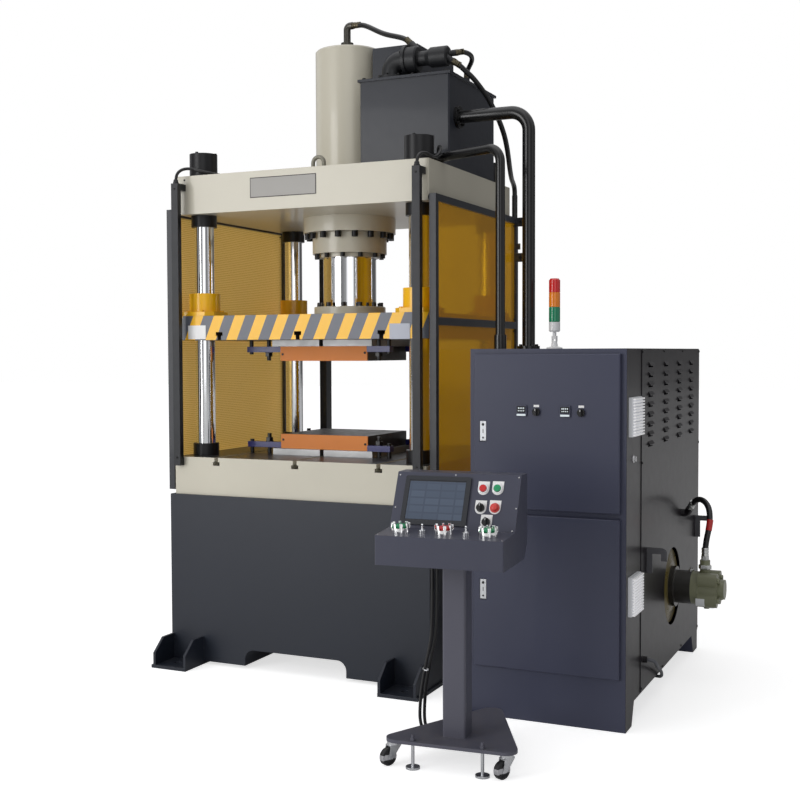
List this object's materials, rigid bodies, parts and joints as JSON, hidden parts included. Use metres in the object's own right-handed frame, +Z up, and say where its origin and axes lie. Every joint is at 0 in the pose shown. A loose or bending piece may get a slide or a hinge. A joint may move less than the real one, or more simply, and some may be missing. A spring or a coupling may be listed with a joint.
{
  "type": "hydraulic press",
  "caption": "Four-column hydraulic press with heated plates, overhead cylinder, side guards, a louvred electric cabinet and a push-button console on casters.",
  "frame": {"origin": "on the floor at the centre of the four foot anchor holes, under the press axis", "axes": "+X to the right along the press front, +Y to the back, +Z up along the ram"},
  "size_m": [2.468, 2.2728, 3.034],
  "materials": {
    "base_paint": "satin blue-grey paint",
    "cream_paint": "semi-gloss cream paint",
    "column_steel": "ground hard-chrome",
    "black_steel": "black oxide",
    "guard_paint": "dark grey paint",
    "amber_sheet": "tinted polycarbonate",
    "curtain_body": "anodised",
    "plate_grey": "light grey paint",
    "hot_steel": "dark heat-tinted steel",
    "insulation": "orange insulation board",
    "clamp_blue": "blue enamel",
    "tank_paint": "dark grey paint",
    "gloss_black": "gloss black",
    "hose_rubber": "black rubber",
    "cabinet_paint": "textured blue-grey powder coat",
    "vent_plastic": "light grey plastic",
    "board_zinc": "zinc-plated sheet",
    "olive_paint": "olive machine paint",
    "tower_plastic": "white and coloured lenses",
    "handle_silver": "satin chrome",
    "switch_black": "black plastic",
    "screen_black": "black bezel and glass",
    "guard_chrome": "polished chrome",
    "button_red": "red plastic",
    "button_green": "green plastic",
    "caster_zinc": "zinc plate",
    "tread": "black rubber",
    "hazard_paint": "yellow paint"
  },
  "bodies": {
    "frame": {"base_frame": "base_paint", "table": "cream_paint", "columns": "column_steel", "column_nuts": "black_steel", "crown_beam": "cream_paint", "cylinder": "cream_paint", "cylinder_gland": "cream_paint", "cylinder_bolts": "black_steel", "guard_frames": "guard_paint", "guard_sheets": "amber_sheet", "channels": "curtain_body", "lower_spacers": "plate_grey", "lower_hot_plate": "hot_steel", "lower_insulation": "insulation", "lower_clamps": "clamp_blue", "oil_tank": "tank_paint", "prefill_valve": "gloss_black", "pipes": "gloss_black", "hoses": "hose_rubber", "cabinet": "cabinet_paint", "side_panel": "cabinet_paint", "vent_covers": "vent_plastic", "switchgear": "board_zinc", "drive_motor": "olive_paint", "pump": "olive_paint", "tower_foot": "switch_black", "console_stand": "cabinet_paint", "console_box": "cream_paint", "touch_screen": "screen_black", "console_fittings": "guard_chrome"},
    "press_slide": {"ram": "column_steel", "ram_flange": "cream_paint", "slide": "hazard_paint", "guide_bushings": "hazard_paint", "upper_spacers": "plate_grey", "upper_hot_plate": "hot_steel", "upper_insulation": "insulation", "upper_clamps": "clamp_blue"},
    "upper_door": {"upper_door": "cabinet_paint"},
    "lower_door": {"lower_door": "cabinet_paint"},
    "upper_handle": {"upper_handle": "handle_silver"},
    "lower_handle": {"lower_handle": "handle_silver"},
    "cabinet_switch_left": {"cabinet_switch_left": "switch_black"},
    "cabinet_switch_right": {"cabinet_switch_right": "switch_black"},
    "red_button": {"red_button": "button_red"},
    "green_button": {"green_button": "button_green"},
    "selector_upper": {"selector_upper": "switch_black"},
    "selector_lower": {"selector_lower": "switch_black"},
    "start_button_left": {"start_button_left": "button_green"},
    "stop_button": {"stop_button": "button_red"},
    "start_button_right": {"start_button_right": "button_green"},
    "lever_switch_left": {"lever_switch_left": "switch_black"},
    "lever_switch_right": {"lever_switch_right": "switch_black"},
    "tower_light": {"tower_light": "tower_plastic"},
    "caster_fork_1": {"caster_fork_1": "caster_zinc"},
    "caster_fork_2": {"caster_fork_2": "caster_zinc"},
    "caster_fork_3": {"caster_fork_3": "caster_zinc"},
    "caster_wheel_1": {"caster_wheel_1": "tread"},
    "caster_wheel_2": {"caster_wheel_2": "tread"},
    "caster_wheel_3": {"caster_wheel_3": "tread"}
  },
  "joints": [
    {"name": "press_stroke", "type": "slide", "parent": "frame", "child": "press_slide", "axis": [0, 0, 1], "range_m": [-0.34, 0.2]},
    {"name": "upper_door_hinge", "type": "hinge", "parent": "frame", "child": "upper_door", "pos_m": [1.537, -0.79, 1.1385], "axis": [0, 0, 1], "range_deg": [0, 42]},
    {"name": "lower_door_hinge", "type": "hinge", "parent": "frame", "child": "lower_door", "pos_m": [1.537, -0.79, 0.5085], "axis": [0, 0, 1], "range_deg": [0, 42]},
    {"name": "upper_handle_lift", "type": "hinge", "parent": "upper_door", "child": "upper_handle", "pos_m": [0.9865, -0.788, 1.102], "axis": [1, 0, 0], "range_deg": [0, 60]},
    {"name": "lower_handle_lift", "type": "hinge", "parent": "lower_door", "child": "lower_handle", "pos_m": [0.9865, -0.788, 0.475], "axis": [1, 0, 0], "range_deg": [0, 60]},
    {"name": "cabinet_switch_left_turn", "type": "hinge", "parent": "upper_door", "child": "cabinet_switch_left", "pos_m": [1.206, -0.8, 1.217], "axis": [0, -1, 0], "range_deg": [-90, 0]},
    {"name": "cabinet_switch_right_turn", "type": "hinge", "parent": "upper_door", "child": "cabinet_switch_right", "pos_m": [1.384, -0.8, 1.217], "axis": [0, -1, 0], "range_deg": [-90, 0]},
    {"name": "red_button_press", "type": "slide", "parent": "frame", "child": "red_button", "axis": [-0.0705, 0.8964, -0.4376], "range_m": [0, 0.004], "stiffness_N_per_m": 400, "springref_m": -0.001},
    {"name": "green_button_press", "type": "slide", "parent": "frame", "child": "green_button", "axis": [-0.0705, 0.8964, -0.4376], "range_m": [0, 0.004], "stiffness_N_per_m": 400, "springref_m": -0.001},
    {"name": "selector_upper_turn", "type": "hinge", "parent": "frame", "child": "selector_upper", "pos_m": [1.18349, -1.34213, 0.90963], "axis": [0.0705, -0.8964, 0.4376], "range_deg": [-45, 45]},
    {"name": "selector_lower_turn", "type": "hinge", "parent": "frame", "child": "selector_lower", "pos_m": [1.21116, -1.36234, 0.86377], "axis": [0.0705, -0.8964, 0.4376], "range_deg": [-45, 45]},
    {"name": "start_button_left_press", "type": "slide", "parent": "frame", "child": "start_button_left", "axis": [-0.0042, 0.0531, -0.9986], "range_m": [0, 0.005], "stiffness_N_per_m": 500, "springref_m": -0.001},
    {"name": "stop_button_press", "type": "slide", "parent": "frame", "child": "stop_button", "axis": [-0.0042, 0.0531, -0.9986], "range_m": [0, 0.005], "stiffness_N_per_m": 500, "springref_m": -0.001},
    {"name": "start_button_right_press", "type": "slide", "parent": "frame", "child": "start_button_right", "axis": [-0.0042, 0.0531, -0.9986], "range_m": [0, 0.005], "stiffness_N_per_m": 500, "springref_m": -0.001},
    {"name": "lever_switch_left_tilt", "type": "hinge", "parent": "frame", "child": "lever_switch_left", "pos_m": [1.02034, -1.474, 0.83712], "axis": [0.9969, 0.0785, 0], "range_deg": [-6, 6]},
    {"name": "lever_switch_right_tilt", "type": "hinge", "parent": "frame", "child": "lever_switch_right", "pos_m": [1.17586, -1.46176, 0.83712], "axis": [0.9969, 0.0785, 0], "range_deg": [-6, 6]},
    {"name": "tower_fold", "type": "hinge", "parent": "frame", "child": "tower_light", "pos_m": [1.08, -0.15, 1.512], "axis": [-1, 0, 0], "range_deg": [0, 90]},
    {"name": "caster_swivel_1", "type": "hinge", "parent": "frame", "child": "caster_fork_1", "pos_m": [0.88847, -1.42987, 0.078], "axis": [0, 0, 1], "continuous": true},
    {"name": "caster_roll_1", "type": "hinge", "parent": "caster_fork_1", "child": "caster_wheel_1", "pos_m": [0.87738, -1.45115, 0.0315], "axis": [0.887, -0.4617, 0], "continuous": true},
    {"name": "caster_swivel_2", "type": "hinge", "parent": "frame", "child": "caster_fork_2", "pos_m": [1.2992, -1.39754, 0.078], "axis": [0, 0, 1], "continuous": true},
    {"name": "caster_roll_2", "type": "hinge", "parent": "caster_fork_2", "child": "caster_wheel_2", "pos_m": [1.28886, -1.4192, 0.0315], "axis": [0.9026, -0.4305, 0], "continuous": true},
    {"name": "caster_swivel_3", "type": "hinge", "parent": "frame", "child": "caster_fork_3", "pos_m": [1.10091, -0.99385, 0.078], "axis": [0, 0, 1], "continuous": true},
    {"name": "caster_roll_3", "type": "hinge", "parent": "caster_fork_3", "child": "caster_wheel_3", "pos_m": [1.12275, -0.9839, 0.0315], "axis": [-0.4147, 0.91, 0], "continuous": true}
  ]
}
